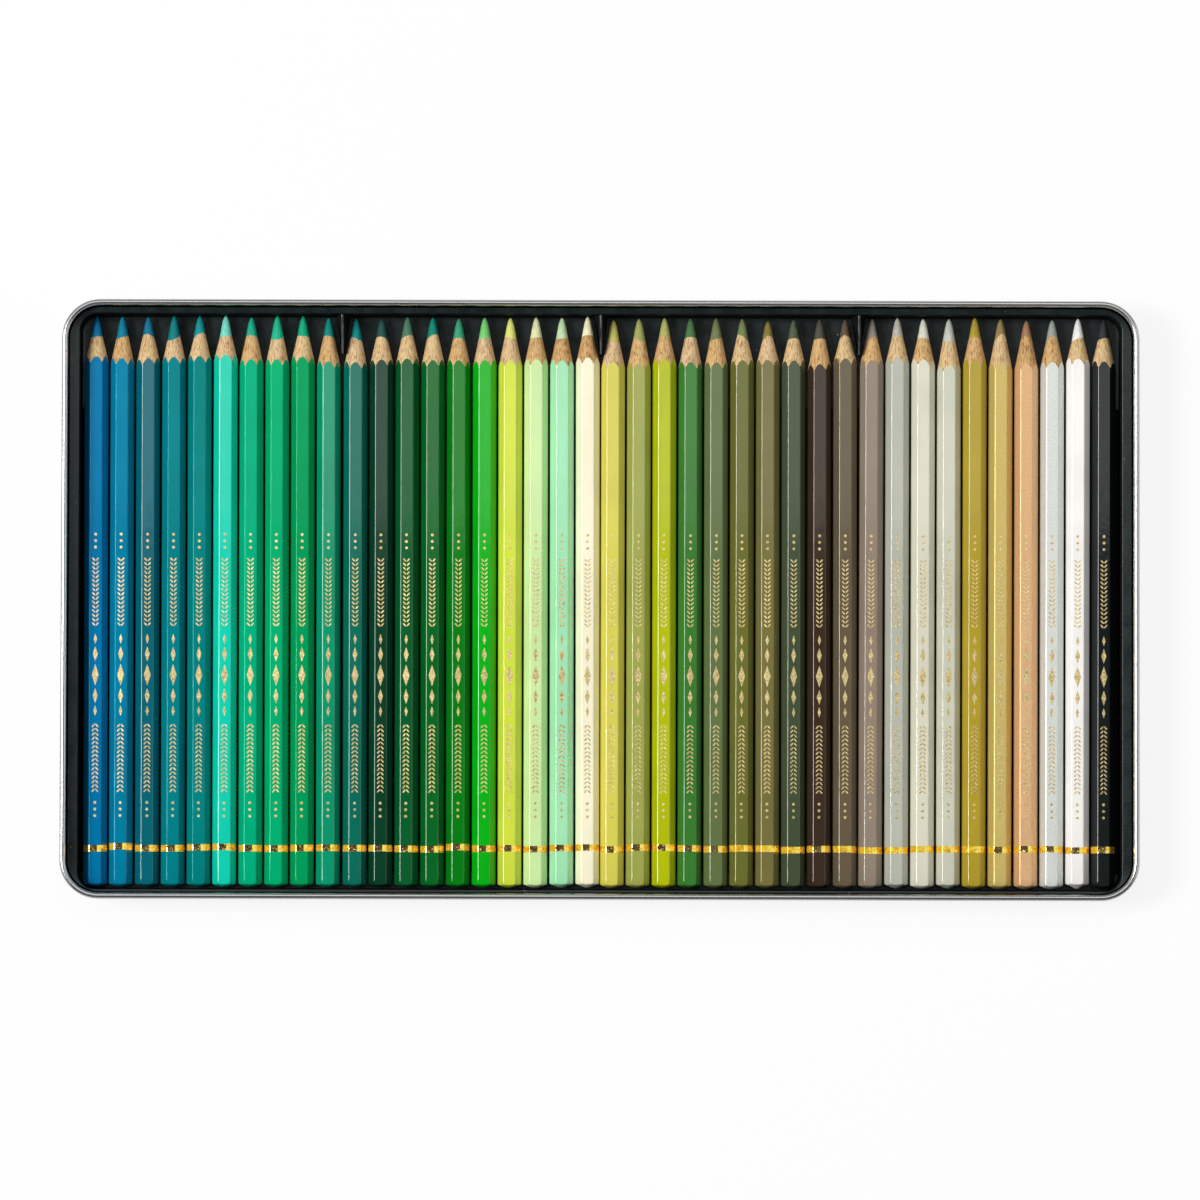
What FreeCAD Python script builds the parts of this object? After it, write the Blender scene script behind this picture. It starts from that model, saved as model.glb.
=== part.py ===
import FreeCAD
import Part
import os
import Sketcher

# Open tin of coloured pencils: a drawn tinplate box with a rolled rim, a black thermoformed tray on its
# floor and forty hexagonal pencils in the grooves of the tray. Millimetres, +Z up, +X along the long side,
# +Y towards the sharpened tips. The origin is on the table, under the middle of the tin.

SIZES = {
    # pencils
    "pencil_flats": 6.5,
    "pencil_gap": 0.39,
    "pencil_length": 174.6,
    "pencil_edge_round": 0.7,
    "cone_angle": 12.9,
    "tip_flat": 0.37,
    "tip_round": 0.25,
    "butt_rise": 1.55,
    "butt_flat": 0.4,
    "butt_cap": 2.5,
    "core_diameter": 3.7,
    "glue_line": 0.05,
    # tray
    "tray_sheet": 0.5,
    "tray_height": 12.0,
    "tray_draft": 1.0,
    "side_room": 1.25,
    "tip_room": 0.56,
    "butt_room": 0.8,
    "lip_side": 2.95,
    "lip_tip": 1.76,
    "lip_butt": 0.76,
    "lip_round": 0.3,
    "recess_corner": 5.3,
    "recess_foot_round": 1.0,
    "bed_setback": 27.6,
    "ridge_gap": 0.38,
    "ridge_crest": 0.6,
    "divider_short": 1.1,
    "divider_foot": 4.3,
    "divider_top": 1.6,
    "divider_drop": 1.5,
    "divider_nose_foot": 0.9,
    "divider_nose_top": 0.4,
    "divider_nose_drop": 4.5,
    # tin
    "tray_gap": 0.3,
    "rim_bead": 1.9,
    "rim_proud": 0.2,
    "rim_corner": 11.8,
    "rim_above_tray": 3.65,
    "tin_sheet": 0.35,
    "floor_round": 2.0,
}

# The pencils from left to right, seen with the tips away from the viewer.
COLOURS = [
    "cerulean_blue", "cyan_blue", "petrol_blue", "teal_blue", "deep_turquoise",
    "light_turquoise", "emerald", "jade_green", "viridian", "sea_green",
    "dark_teal", "night_green", "fir_green", "forest_green", "leaf_green",
    "bright_green", "lime_yellow", "pale_lime", "mint_green", "cream",
    "straw_yellow", "khaki_green", "acid_green", "moss_green", "grey_green",
    "olive_green", "olive_brown", "dark_grey_green", "dark_brown", "brown_grey",
    "warm_grey", "light_grey", "pale_beige", "ash_grey", "ochre",
    "gold", "copper", "silver", "white", "black",
]
PENCILS = len(COLOURS)
PENCILS_PER_BAY = 10

# How near an edge or face must be to a place to be picked there, in millimetres.
NEAR = 1e-3
# The most that a fillet may take of the narrowest face beside it.
FILLET_SHARE = 0.7

# Formulas for what follows from the sizes: the tray goes round the pencils, and the tin round the tray.
HEX_SIDE = "( pencil_flats / sqrt( 3 ) )"
PITCH = f"( 2 * {HEX_SIDE} + pencil_gap )"
RECESS_LENGTH = f"( {PENCILS} * {PITCH} + 2 * side_room )"
RECESS_WIDTH = "( pencil_length + tip_room + butt_room )"
RECESS_MIDDLE = "( ( lip_butt - lip_tip ) / 2 )"
PENCIL_MIDDLE = f"( {RECESS_MIDDLE} + ( butt_room - tip_room ) / 2 )"
TRAY_LENGTH = f"( {RECESS_LENGTH} + 2 * lip_side )"
TRAY_WIDTH = f"( {RECESS_WIDTH} + lip_tip + lip_butt )"
RIM_LENGTH = f"( {TRAY_LENGTH} + 2 * tray_gap + 2 * rim_bead )"
RIM_WIDTH = f"( {TRAY_WIDTH} + 2 * tray_gap + 2 * rim_bead )"
TIN_HEIGHT = "( tin_sheet + tray_height + rim_above_tray )"
BEAD_LEVEL = f"( {TIN_HEIGHT} - rim_bead / 2 )"
TIP = "( pencil_length / 2 )"
BUTT = "( -1 * pencil_length / 2 )"

doc = FreeCAD.newDocument("pencil_tin")
sheet = doc.addObject("Spreadsheet::Sheet", "Sizes")
for row, (alias, value) in enumerate(SIZES.items(), start=1):
    sheet.set(f"A{row}", alias)
    sheet.set(f"B{row}", str(value))
    sheet.setAlias(f"B{row}", alias)
doc.recompute()


def sized(formula):
    """The formula with each size's name turned into a reference to its cell."""
    return " ".join(f"Sizes.{word}" if word in SIZES else word for word in formula.split())


def value_of(formula):
    """A formula's number, for first guesses and for picking edges."""
    return float(sheet.evalExpression(sized(formula)))


def new_body(name):
    body = doc.addObject("PartDesign::Body", name)
    body.Label = name
    return body


def new_sketch(body, name, plane, offset="0", shift="0"):
    """A sketch on an origin plane of the body, moved along the plane's normal and along its own Y."""
    sketch = body.newObject("Sketcher::SketchObject", name)
    origin_plane = next(item for item in body.Origin.OriginFeatures if item.Role == plane)
    sketch.AttachmentSupport = [(origin_plane, "")]
    sketch.MapMode = "FlatFace"
    sketch.setExpression("AttachmentOffset.Base.z", sized(offset))
    sketch.setExpression("AttachmentOffset.Base.y", sized(shift))
    return sketch


def bind(sketch, constraint, formula):
    """Adds a constraint whose value follows a formula."""
    number = sketch.addConstraint(constraint)
    sketch.setExpression(f"Constraints[{number}]", sized(formula))


def pin(sketch, curve, end, across, up):
    """Holds one end of a curve at a place that two formulas give."""
    for kind, formula in (("DistanceX", across), ("DistanceY", up)):
        bind(sketch, Sketcher.Constraint(kind, -1, 1, curve, end, value_of(formula)), formula)


def outline(sketch, corners):
    """Closed outline of straight lines through corners given as pairs of formulas."""
    guesses = [FreeCAD.Vector(value_of(across), value_of(up), 0) for across, up in corners]
    first = sketch.GeometryCount
    count = len(corners)
    for index in range(count):
        sketch.addGeometry(Part.LineSegment(guesses[index], guesses[(index + 1) % count]))
    for index in range(count):
        following = first + (index + 1) % count
        sketch.addConstraint(Sketcher.Constraint("Coincident", first + index, 2, following, 1))
        pin(sketch, first + index, 1, *corners[index])


def rounded_rectangle(sketch, length, width, radius):
    """Rectangle with round corners, centred on the sketch's origin, from three formulas."""
    half_x = value_of(length) / 2
    half_y = value_of(width) / 2
    bend = value_of(radius)
    flat_x = half_x - bend
    flat_y = half_y - bend
    sides = [
        ((-flat_x, -half_y), (flat_x, -half_y)),
        ((half_x, -flat_y), (half_x, flat_y)),
        ((flat_x, half_y), (-flat_x, half_y)),
        ((-half_x, flat_y), (-half_x, -flat_y)),
    ]
    for start, finish in sides:
        sketch.addGeometry(Part.LineSegment(FreeCAD.Vector(*start, 0), FreeCAD.Vector(*finish, 0)))
    quarter = FreeCAD.Units.parseQuantity("90 deg").getValueAs("rad").Value
    centres = [(flat_x, -flat_y), (flat_x, flat_y), (-flat_x, flat_y), (-flat_x, -flat_y)]
    for index, centre in enumerate(centres):
        circle = Part.Circle(FreeCAD.Vector(*centre, 0), FreeCAD.Vector(0, 0, 1), bend)
        sketch.addGeometry(Part.ArcOfCircle(circle, (index - 1) * quarter, index * quarter))
    for index in range(4):
        corner = 4 + index
        sketch.addConstraint(Sketcher.Constraint("Tangent", index, 2, corner, 1))
        sketch.addConstraint(Sketcher.Constraint("Tangent", corner, 2, (index + 1) % 4, 1))
        sketch.addConstraint(Sketcher.Constraint("Vertical" if index % 2 else "Horizontal", index))
    for corner in (5, 6, 7):
        sketch.addConstraint(Sketcher.Constraint("Equal", 4, corner))
    sketch.addConstraint(Sketcher.Constraint("Symmetric", 4, 3, 6, 3, -1, 1))
    bind(sketch, Sketcher.Constraint("DistanceX", 3, 1, 1, 1, 2 * half_x), length)
    bind(sketch, Sketcher.Constraint("DistanceY", 0, 1, 2, 1, 2 * half_y), width)
    bind(sketch, Sketcher.Constraint("Radius", 4, bend), radius)


def feature(body, kind, name, profile, **formulas):
    """A PartDesign feature with its sizes bound to formulas."""
    made = body.newObject(f"PartDesign::{kind}", name)
    made.Profile = profile
    for size, formula in formulas.items():
        made.setExpression(size, sized(formula))
    return made


def dress(body, kind, name, base, size, formula, chosen):
    """A fillet or chamfer on those edges of the base that the test picks."""
    doc.recompute()
    edges = [f"Edge{n}" for n, edge in enumerate(base.Shape.Edges, start=1) if chosen(edge.BoundBox)]
    made = body.newObject(f"PartDesign::{kind}", name)
    made.Base = (base, edges)
    made.setExpression(size, sized(formula))
    body.Tip = made
    return made


def row_along_x(body, name, original, length, count):
    """Copies of a feature in a row along X."""
    pattern = body.newObject("PartDesign::LinearPattern", name)
    pattern.Originals = [original]
    x_axis = next(item for item in body.Origin.OriginFeatures if item.Role == "X_Axis")
    pattern.Direction = (x_axis, [""])
    pattern.setExpression("Length", sized(length))
    pattern.Occurrences = count
    body.Tip = pattern
    return pattern


def spun(body, kind, name, sketch):
    """A revolution or groove right round the sketch's own upright axis."""
    made = feature(body, kind, name, sketch)
    made.ReferenceAxis = (sketch, ["V_Axis"])
    made.Angle = 360
    body.Tip = made
    return made


def make_tin():
    """Drawn box of thin sheet whose rim is rolled inwards into a bead."""
    body = new_body("tin_base")
    plan = new_sketch(body, "tin_plan", "XY_Plane")
    rounded_rectangle(
        plan, f"{RIM_LENGTH} - 2 * rim_proud", f"{RIM_WIDTH} - 2 * rim_proud", "rim_corner - rim_proud"
    )
    block = feature(body, "Pad", "tin_block", plan, Length=BEAD_LEVEL)
    rounded = dress(
        body, "Fillet", "tin_foot", block, "Radius", "floor_round", lambda box: box.ZMax < NEAR
    )
    doc.recompute()
    level = value_of(BEAD_LEVEL) - NEAR
    faces = enumerate(rounded.Shape.Faces, start=1)
    mouth = [f"Face{n}" for n, face in faces if face.BoundBox.ZMin > level]
    sheet_metal = body.newObject("PartDesign::Thickness", "tin_sheet_metal")
    sheet_metal.Base = (rounded, mouth)
    sheet_metal.setExpression("Value", sized("tin_sheet"))
    sheet_metal.Reversed = True
    body.Tip = sheet_metal
    doc.recompute()
    assert sheet_metal.Shape.Volume < rounded.Shape.Volume / 2
    rim_path = new_sketch(body, "rim_path", "XY_Plane", BEAD_LEVEL)
    rounded_rectangle(
        rim_path, f"{RIM_LENGTH} - rim_bead", f"{RIM_WIDTH} - rim_bead", "rim_corner - rim_bead / 2"
    )
    bead_section = new_sketch(body, "bead_section", "XZ_Plane")
    bead_place = (f"{RIM_LENGTH} / 2 - rim_bead / 2", BEAD_LEVEL)
    centre = FreeCAD.Vector(value_of(bead_place[0]), value_of(bead_place[1]), 0)
    bead_section.addGeometry(Part.Circle(centre, FreeCAD.Vector(0, 0, 1), value_of("rim_bead / 2")))
    pin(bead_section, 0, 3, *bead_place)
    bind(bead_section, Sketcher.Constraint("Diameter", 0, value_of("rim_bead")), "rim_bead")
    bead = feature(body, "AdditivePipe", "rolled_rim", bead_section)
    bead.Spine = (rim_path, [f"Edge{n + 1}" for n in range(rim_path.GeometryCount)])
    body.Tip = bead
    return body


def make_tray():
    """Thermoformed tray: lip, drafted recess, grooved bed, side ledges and dividers between the tips."""
    body = new_body("pencil_tray")
    body.setExpression("Placement.Base.z", sized("tin_sheet"))
    lip_outline = new_sketch(body, "lip_outline", "XY_Plane", "tray_height")
    rounded_rectangle(lip_outline, TRAY_LENGTH, TRAY_WIDTH, "rim_corner - rim_bead - tray_gap")
    lip = feature(body, "Pad", "lip", lip_outline, Length="tray_sheet")
    lip.Reversed = True
    tub_outline = new_sketch(body, "tub_outline", "XY_Plane", "tray_height", RECESS_MIDDLE)
    rounded_rectangle(
        tub_outline,
        f"{RECESS_LENGTH} + 2 * tray_sheet",
        f"{RECESS_WIDTH} + 2 * tray_sheet",
        "recess_corner + tray_sheet",
    )
    tub = feature(body, "Pad", "tub", tub_outline, Length="tray_height", TaperAngle="-1 * tray_draft")
    tub.Reversed = True
    mouth = new_sketch(body, "recess_outline", "XY_Plane", "tray_height", RECESS_MIDDLE)
    rounded_rectangle(mouth, RECESS_LENGTH, RECESS_WIDTH, "recess_corner")
    recess = feature(
        body, "Pocket", "recess", mouth, Length="tray_height - tray_sheet", TaperAngle="-1 * tray_draft"
    )
    doc.recompute()
    assert recess.Shape.Volume < tub.Shape.Volume / 2
    floor = value_of("tray_sheet")
    foot = dress(
        body, "Fillet", "recess_foot", recess, "Radius", "recess_foot_round",
        lambda box: abs(box.ZMin - floor) < NEAR and abs(box.ZMax - floor) < NEAR,
    )
    top = value_of("tray_height")
    reach = value_of(f"{RECESS_LENGTH} / 2") + NEAR
    tip_end = value_of(f"{RECESS_MIDDLE} + {RECESS_WIDTH} / 2") + NEAR
    butt_end = value_of(f"{RECESS_MIDDLE} - {RECESS_WIDTH} / 2") - NEAR
    dress(
        body, "Fillet", "recess_edge", foot, "Radius", f"min( lip_round ; {FILLET_SHARE} * lip_butt )",
        lambda box: box.ZMin > top - NEAR and max(box.XMax, -box.XMin) < reach
        and box.YMax < tip_end and box.YMin > butt_end,
    )

    # Ridges keep the same gap to the sloping lower faces of the pencils on both sides.
    ridge_foot = f"( {PITCH} / 2 - {HEX_SIDE} / 2 - ridge_gap )"
    ridge_level = f"( tray_sheet + ( {ridge_foot} - ridge_crest / 2 ) * sqrt( 3 ) )"
    bed_front = f"( {PENCIL_MIDDLE} + {TIP} - bed_setback )"
    bed_length = "( pencil_length - bed_setback + butt_room )"
    ridges = PENCILS - 1
    first_ridge = f"( -1 * {PITCH} * {ridges - 1} / 2 )"
    ridge_section = new_sketch(body, "ridge_section", "XZ_Plane", f"-1 * {bed_front}")
    outline(ridge_section, [
        (f"{first_ridge} - {ridge_foot}", "tray_sheet / 2"),
        (f"{first_ridge} + {ridge_foot}", "tray_sheet / 2"),
        (f"{first_ridge} + {ridge_foot}", "tray_sheet"),
        (f"{first_ridge} + ridge_crest / 2", ridge_level),
        (f"{first_ridge} - ridge_crest / 2", ridge_level),
        (f"{first_ridge} - {ridge_foot}", "tray_sheet"),
    ])
    ridge = feature(body, "Pad", "ridge", ridge_section, Length=bed_length)
    row_along_x(body, "ridges", ridge, f"{PITCH} * {ridges - 1}", ridges)

    ledge_section = new_sketch(body, "ledge_section", "XZ_Plane", f"-1 * {bed_front}")
    bed_side = f"{PITCH} * {PENCILS} / 2"
    for side in ("-1", "1"):
        outline(ledge_section, [
            (f"{side} * ( {bed_side} - {ridge_foot} )", "tray_sheet / 2"),
            (f"{side} * ( {bed_side} - {ridge_foot} )", "tray_sheet"),
            (f"{side} * ( {bed_side} - ridge_crest / 2 )", ridge_level),
            (f"{side} * {RECESS_LENGTH} / 2", ridge_level),
            (f"{side} * {RECESS_LENGTH} / 2", "tray_sheet / 2"),
        ])
    feature(body, "Pad", "side_ledges", ledge_section, Length=f"{bed_length} - recess_corner")

    # Each divider is a wedge that fills the room between two sharpened cones, short of the barrels.
    bay = f"{PITCH} * {PENCILS_PER_BAY}"
    root_place = f"( {RECESS_MIDDLE} + {RECESS_WIDTH} / 2 + tray_sheet / 2 )"
    nose_place = f"( {PENCIL_MIDDLE} + {cone_place('pencil_flats / 2')} + divider_short )"
    root = new_sketch(body, "divider_root", "XZ_Plane", f"-1 * {root_place}")
    nose = new_sketch(body, "divider_nose", "XZ_Plane", f"-1 * {nose_place}")
    for section, stage in ((root, "divider"), (nose, "divider_nose")):
        outline(section, [
            (f"-1 * {bay} - {stage}_foot / 2", "tray_sheet / 2"),
            (f"-1 * {bay} + {stage}_foot / 2", "tray_sheet / 2"),
            (f"-1 * {bay} + {stage}_top / 2", f"tray_height - {stage}_drop"),
            (f"-1 * {bay} - {stage}_top / 2", f"tray_height - {stage}_drop"),
        ])
    wedge = feature(body, "AdditiveLoft", "divider", root)
    wedge.Sections = [nose]
    row_along_x(body, "dividers", wedge, f"2 * {bay}", PENCILS // PENCILS_PER_BAY - 1)
    return body


def cone_place(radius):
    """Formula for the place along the pencil where the sharpened cone has a given radius."""
    return f"( {TIP} - ( {radius} - tip_flat ) / tan( cone_angle * 1 deg ) )"


def make_casing():
    """Wooden casing: hexagonal, sharpened to a cone at the tip and domed at the closed butt end."""
    body = new_body("pencil_casing")
    hexagon = new_sketch(body, "hexagon", "XZ_Plane", f"-1 * {TIP}")
    outline(hexagon, [
        (HEX_SIDE, "0"),
        (f"{HEX_SIDE} / 2", "pencil_flats / 2"),
        (f"-1 * {HEX_SIDE} / 2", "pencil_flats / 2"),
        (f"-1 * {HEX_SIDE}", "0"),
        (f"-1 * {HEX_SIDE} / 2", "-1 * pencil_flats / 2"),
        (f"{HEX_SIDE} / 2", "-1 * pencil_flats / 2"),
    ])
    stick = feature(body, "Pad", "stick", hexagon, Length="pencil_length")
    long_edge = value_of(TIP)
    dress(
        body, "Fillet", "soft_edges", stick, "Radius", "pencil_edge_round",
        lambda box: box.YLength > long_edge,
    )
    sharpening = new_sketch(body, "sharpening", "XY_Plane")
    outline(sharpening, [
        ("tip_flat", TIP),
        (HEX_SIDE, TIP),
        (HEX_SIDE, cone_place(HEX_SIDE)),
    ])
    spun(body, "Groove", "sharpened_cone", sharpening)
    bore = new_sketch(body, "core_bore", "XY_Plane")
    outline(bore, [
        ("0", f"{BUTT} + butt_cap"),
        ("core_diameter / 2 + glue_line", f"{BUTT} + butt_cap"),
        ("core_diameter / 2 + glue_line", TIP),
        ("0", TIP),
    ])
    spun(body, "Groove", "core_hole", bore)

    dome = new_sketch(body, "dome", "XY_Plane")
    dome_radius = f"( ( {HEX_SIDE} * {HEX_SIDE} + butt_rise * butt_rise ) / ( 2 * butt_rise ) )"
    corners = [("butt_flat", BUTT), (HEX_SIDE, BUTT), (HEX_SIDE, f"{BUTT} + butt_rise")]
    inner, outer, upper = [FreeCAD.Vector(value_of(across), value_of(up), 0) for across, up in corners]
    centre = FreeCAD.Vector(0, value_of(f"{BUTT} + {dome_radius}"), 0)
    bulge = (inner + upper) / 2 - centre
    bulge.normalize()
    dome.addGeometry(Part.LineSegment(inner, outer))
    dome.addGeometry(Part.LineSegment(outer, upper))
    dome.addGeometry(Part.Arc(inner, centre + bulge * value_of(dome_radius), upper))
    pin(dome, 0, 1, *corners[0])
    pin(dome, 1, 1, *corners[1])
    pin(dome, 1, 2, *corners[2])
    dome.addConstraint(Sketcher.Constraint("Coincident", 0, 2, 1, 1))
    dome.addConstraint(Sketcher.Constraint("Coincident", 2, 1, 0, 1))
    dome.addConstraint(Sketcher.Constraint("Coincident", 2, 2, 1, 2))
    bind(dome, Sketcher.Constraint("Radius", 2, value_of(dome_radius)), dome_radius)
    spun(body, "Groove", "domed_butt", dome)
    return body


def make_core():
    """Round coloured core, pointed with the casing and blunt at the very tip."""
    body = new_body("pencil_core")
    profile = new_sketch(body, "core_profile", "XY_Plane")
    outline(profile, [
        ("0", f"{BUTT} + butt_cap"),
        ("core_diameter / 2", f"{BUTT} + butt_cap"),
        ("core_diameter / 2", cone_place("core_diameter / 2")),
        ("tip_flat", TIP),
        ("0", TIP),
    ])
    turned = spun(body, "Revolution", "turned_core", profile)
    tip = value_of(TIP)
    dress(
        body, "Fillet", "blunt_tip", turned, "Radius", f"min( tip_round ; {FILLET_SHARE} * tip_flat )",
        lambda box: box.YMin > tip - NEAR,
    )
    return body


def place_pencil(name, number, casing, core):
    """One pencil in its groove, flat face down on the floor of the tray."""
    pencil = doc.addObject("Part::Compound", name)
    pencil.Label = name
    pencil.Links = [casing, core]
    steps_from_middle = number - (PENCILS + 1) / 2
    pencil.setExpression("Placement.Base.x", sized(f"{PITCH} * {steps_from_middle}"))
    pencil.setExpression("Placement.Base.y", sized(PENCIL_MIDDLE))
    pencil.setExpression("Placement.Base.z", sized("tin_sheet + tray_sheet + pencil_flats / 2"))
    return pencil


pieces = [make_tin(), make_tray()]
casing = make_casing()
core = make_core()
for number, colour in enumerate(COLOURS, start=1):
    pieces.append(place_pencil(f"pencil_{number:02d}_{colour}", number, casing, core))
doc.recompute()

for item in doc.Objects:
    if "Invalid" in item.State or "Error" in item.State:
        raise RuntimeError(f"{item.Label} failed to build: {item.State}")
for piece in pieces:
    if piece.Shape.isNull() or not piece.Shape.isValid():
        raise RuntimeError(f"{piece.Label} has no valid shape")

os.makedirs("parts", exist_ok=True)
for piece in pieces:
    piece.Shape.exportStep(f"parts/{piece.Label}.step")
print(f"rim {value_of(RIM_LENGTH):.2f} x {value_of(RIM_WIDTH):.2f} x {value_of(TIN_HEIGHT):.2f} mm, "
      f"pencils {value_of(PITCH):.3f} mm apart, {len(pieces)} pieces")
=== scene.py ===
import math
import random

import bmesh
import bpy
from mathutils import Matrix, Vector


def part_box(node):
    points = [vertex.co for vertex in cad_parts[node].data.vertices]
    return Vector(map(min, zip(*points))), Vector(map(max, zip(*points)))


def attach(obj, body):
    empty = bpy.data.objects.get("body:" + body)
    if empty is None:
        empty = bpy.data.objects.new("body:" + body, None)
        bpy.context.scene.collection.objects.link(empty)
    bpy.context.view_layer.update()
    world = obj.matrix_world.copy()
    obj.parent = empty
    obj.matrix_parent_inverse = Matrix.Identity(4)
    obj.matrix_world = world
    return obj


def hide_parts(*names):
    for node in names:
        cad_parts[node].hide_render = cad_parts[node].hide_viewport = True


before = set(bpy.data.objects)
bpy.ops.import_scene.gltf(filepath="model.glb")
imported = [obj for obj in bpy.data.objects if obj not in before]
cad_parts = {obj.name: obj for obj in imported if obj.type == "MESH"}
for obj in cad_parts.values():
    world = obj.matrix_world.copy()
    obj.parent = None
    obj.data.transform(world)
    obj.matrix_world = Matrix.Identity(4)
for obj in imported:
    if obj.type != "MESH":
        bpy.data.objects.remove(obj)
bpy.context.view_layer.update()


# Tin base: a shallow open box drawn from one sheet of satin silver tinplate, with fine rolling lines. Its cut
# edge is rolled inwards into a bead, so that the rim is round and safe to the hand. All the rest lies in it.
MM = 0.001
TIN_SHEET = 0.35 * MM
RIM_BEAD = 0.95 * MM
RIM_PROUD = 0.2 * MM
RIM_CORNER = 11.8 * MM
TIN_FOOT = 2.0 * MM
CORNER_STEPS = 12


def bend(out, up, radius, first, last, steps):
    """A bend in a sheet's section, as (outwards, upwards) points from one angle to another in degrees."""
    angles = [math.radians(first + (last - first) * step / steps) for step in range(steps + 1)]
    return [(out + radius * math.cos(angle), up + radius * math.sin(angle)) for angle in angles]


def formed_sheet(outlines):
    """Closed shell through round-cornered outlines: half length, half width, corner, middle in Y, level."""
    bm = bmesh.new()
    half_x, half_y, corner, middle, level = outlines[0]
    blank = bmesh.ops.create_grid(bm, x_segments=1, y_segments=1, size=1)["verts"]
    bmesh.ops.scale(bm, verts=blank, vec=(half_x, half_y, 1))
    bmesh.ops.translate(bm, verts=blank, vec=(0, middle, level))
    bmesh.ops.bevel(
        bm, geom=blank, offset=corner, affect="VERTICES", segments=CORNER_STEPS, profile=0.5, material=-1
    )
    underside = cap = next(iter(bm.faces))
    for now, then in zip(outlines, outlines[1:]):
        grown = bmesh.ops.extrude_face_region(bm, geom=[cap])["geom"]
        if cap is not underside:
            bmesh.ops.delete(bm, geom=[cap], context="FACES_ONLY")
        cap = next(item for item in grown if isinstance(item, bmesh.types.BMFace))
        for vert in cap.verts:
            away = Vector((abs(vert.co.x) - now[0] + now[2], abs(vert.co.y - now[3]) - now[1] + now[2]))
            away.normalize()
            reach_x = then[0] - then[2] + then[2] * away.x
            reach_y = then[1] - then[2] + then[2] * away.y
            turned_y = math.copysign(reach_y, vert.co.y - now[3])
            vert.co = (math.copysign(reach_x, vert.co.x), then[3] + turned_y, then[4])
    return bm


def made_piece(name, bm, finishes, crease=35):
    """Turns a modelled shape into a piece with its finishes, smooth except where it is creased."""
    bmesh.ops.recalc_face_normals(bm, faces=bm.faces)
    for face in bm.faces:
        face.smooth = True
    for edge in bm.edges:
        one_finish = len({face.material_index for face in edge.link_faces}) == 1
        joined = len(edge.link_faces) == 2 and one_finish
        edge.smooth = joined and edge.calc_face_angle() < math.radians(crease)
    mesh = bpy.data.meshes.new(name)
    bm.to_mesh(mesh)
    bm.free()
    for finish in finishes:
        mesh.materials.append(finish)
    piece = bpy.data.objects.new(name, mesh)
    bpy.context.scene.collection.objects.link(piece)
    return piece


def new_finish(name, **sockets):
    """A material whose shader has these values on its own sockets."""
    finish = bpy.data.materials.new(name)
    finish.use_nodes = True
    shader = finish.node_tree.nodes["Principled BSDF"]
    for socket, value in sockets.items():
        shader.inputs[socket.replace("_", " ")].default_value = value
    return finish, shader


def node(tree, kind, sockets, **settings):
    """Adds a node. A socket takes a value, or reads another node's output."""
    made = tree.nodes.new("ShaderNode" + kind)
    for setting, value in settings.items():
        setattr(made, setting, value)
    for socket, value in sockets.items():
        if isinstance(value, bpy.types.NodeSocket):
            tree.links.new(value, made.inputs[socket])
        else:
            made.inputs[socket].default_value = value
    return made


def speckle(finish, scale, stretch=(1, 1, 1), detail=2.0):
    """Noise on the piece's own coordinates, drawn out where stretch is small. Gives a value from 0 to 1."""
    tree = finish.node_tree
    place = node(tree, "TexCoord", {}).outputs["Object"]
    spread = node(tree, "Mapping", {"Vector": place, "Scale": stretch}).outputs["Vector"]
    return node(tree, "TexNoise", {"Vector": spread, "Scale": scale, "Detail": detail}).outputs["Fac"]


def between(finish, value, low, high, start=0.35, end=0.65):
    """Spreads a noise value over a range, for roughness or for height."""
    sockets = {"Value": value, "From Min": start, "From Max": end, "To Min": low, "To Max": high}
    return node(finish.node_tree, "MapRange", sockets).outputs["Result"]


def two_tone(finish, value, first, second, start=0.35, end=0.65):
    """Goes from one colour to another with a noise value."""
    share = between(finish, value, 0, 1, start, end)
    mix = node(finish.node_tree, "Mix", {0: share, 6: first, 7: second}, data_type="RGBA")
    return mix.outputs[2]


def uneven(finish, shader, height, depth, strength=1.0):
    """Bump of a given depth in metres."""
    bump = node(finish.node_tree, "Bump", {"Strength": strength, "Distance": depth, "Height": height})
    finish.node_tree.links.new(bump.outputs["Normal"], shader.inputs["Normal"])


def shade(red, green, blue, light=1.0):
    """A paint colour from its mixing values out of 255, as the shader wants it."""
    parts = [part / 255 for part in (red, green, blue)]
    flat = [part / 12.92 if part <= 0.04045 else ((part + 0.055) / 1.055) ** 2.4 for part in parts]
    return (*[min(1.0, part * light) for part in flat], 1.0)


tin_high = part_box("tin_base")[1]
wall_x = tin_high.x - RIM_PROUD
wall_y = tin_high.y - RIM_PROUD
wall_corner = RIM_CORNER - RIM_PROUD
bead_out = RIM_PROUD - RIM_BEAD
bead_up = tin_high.z - RIM_BEAD
meets_outside = math.degrees(math.acos(-bead_out / RIM_BEAD))
meets_inside = math.degrees(math.acos((-TIN_SHEET - bead_out) / RIM_BEAD))
tin_section = (
    bend(-TIN_FOOT, TIN_FOOT, TIN_FOOT, -90, 0, 6)
    + bend(bead_out, bead_up, RIM_BEAD, -meets_outside, 360 - meets_inside, 30)
    + bend(-TIN_FOOT, TIN_FOOT, TIN_FOOT - TIN_SHEET, 0, -90, 6)
)
tin_outlines = [(wall_x + out, wall_y + out, wall_corner + out, 0, up) for out, up in tin_section]

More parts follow.
